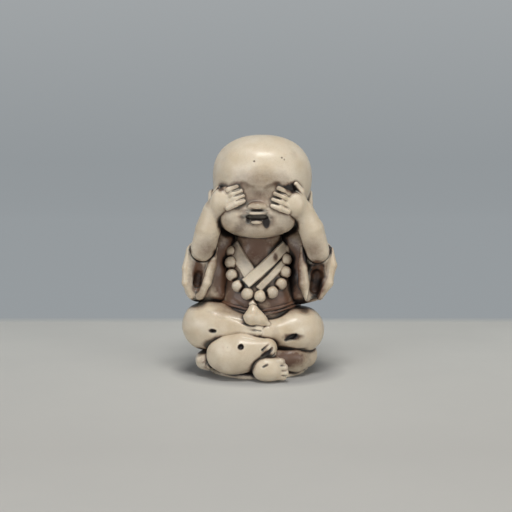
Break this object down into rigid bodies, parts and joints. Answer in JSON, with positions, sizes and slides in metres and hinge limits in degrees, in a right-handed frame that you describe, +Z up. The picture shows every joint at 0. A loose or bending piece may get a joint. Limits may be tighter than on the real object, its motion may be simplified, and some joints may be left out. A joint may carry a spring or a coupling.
{
  "type": "okimono carving",
  "caption": "Seated novice monk carving with hands over the eyes, prayer beads and wide sleeves, standing on a flat base.",
  "frame": {"origin": "on the floor in the plane of the flat underside, below the middle of the body", "axes": "+Z up from the underside to the head; the figure faces -Y; its own left hand is on the +X side"},
  "size_m": [0.0469, 0.0357, 0.0733],
  "materials": {
    "skin_ivory": "polished aged ivory with brown stain in the recesses",
    "robe_ivory": "polished aged ivory with heavier brown stain in the folds",
    "bead_ivory": "polished ivory with dark stained seats",
    "dowel_wood": "plain turned dowel, hidden in the seams"
  },
  "bodies": {
    "root": {"bead_01": "bead_ivory", "bead_02": "bead_ivory", "bead_03": "bead_ivory", "bead_04": "bead_ivory", "bead_05": "bead_ivory", "bead_06": "bead_ivory", "bead_07": "bead_ivory", "bead_08": "bead_ivory", "bead_09": "bead_ivory", "bead_10": "bead_ivory", "bead_11": "bead_ivory", "bead_12": "bead_ivory", "bead_13": "bead_ivory", "bead_14": "bead_ivory", "bead_15": "bead_ivory", "bead_16": "bead_ivory", "bead_17": "bead_ivory", "bead_18": "bead_ivory", "bead_19": "bead_ivory", "bead_20": "bead_ivory", "guru_bead": "bead_ivory", "head": "skin_ivory", "left_elbow_dowel": "dowel_wood", "left_foot": "skin_ivory", "left_foot_dowel": "dowel_wood", "left_forearm": "skin_ivory", "left_lapel": "robe_ivory", "left_shin": "robe_ivory", "left_shin_dowel": "dowel_wood", "left_sleeve": "robe_ivory", "left_sleeve_dowel": "dowel_wood", "left_thigh": "robe_ivory", "left_thigh_dowel": "dowel_wood", "neck_dowel": "dowel_wood", "right_elbow_dowel": "dowel_wood", "right_foot": "skin_ivory", "right_foot_dowel": "dowel_wood", "right_forearm": "skin_ivory", "right_lapel": "robe_ivory", "right_shin": "robe_ivory", "right_shin_dowel": "dowel_wood", "right_sleeve": "robe_ivory", "right_sleeve_dowel": "dowel_wood", "right_thigh": "robe_ivory", "right_thigh_dowel": "dowel_wood", "robe_body": "robe_ivory", "robe_fold": "robe_ivory", "robe_skirt": "robe_ivory", "seat_dowel": "dowel_wood", "tassel": "robe_ivory", "waist_sash": "robe_ivory"}
  },
  "joints": []
}
